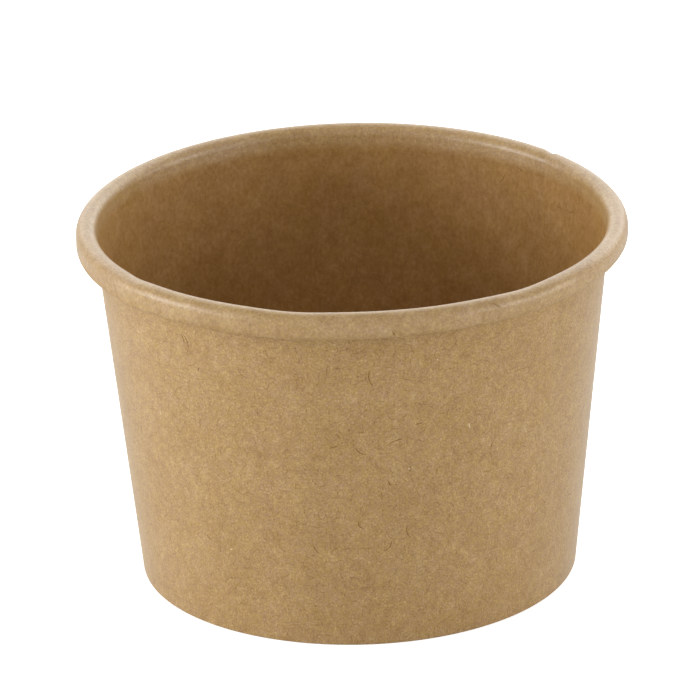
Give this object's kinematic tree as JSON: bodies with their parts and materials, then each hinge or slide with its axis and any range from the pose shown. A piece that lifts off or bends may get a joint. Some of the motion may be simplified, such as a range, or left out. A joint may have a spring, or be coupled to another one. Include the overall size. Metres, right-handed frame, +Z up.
{
  "type": "paper ice cream tub",
  "caption": "Round tapered tub of brown paperboard with a rolled rim, a lapped side seam and a recessed base, for one serving of ice cream or soup.",
  "frame": {"origin": "middle of the foot ring, on the surface that the tub stands on", "axes": "+Z up along the tub's axis, out of its mouth; the side seam is in the +X +Y quarter, 38 degrees from +X"},
  "size_m": [0.09, 0.09, 0.061],
  "materials": {
    "wall_board": "unbleached brown paperboard with fine fibres and a faint satin sheen",
    "base_board": "unbleached brown paperboard with fine fibres, matt"
  },
  "bodies": {
    "root": {"side_wall": "wall_board", "base_disc": "base_board"}
  },
  "joints": []
}
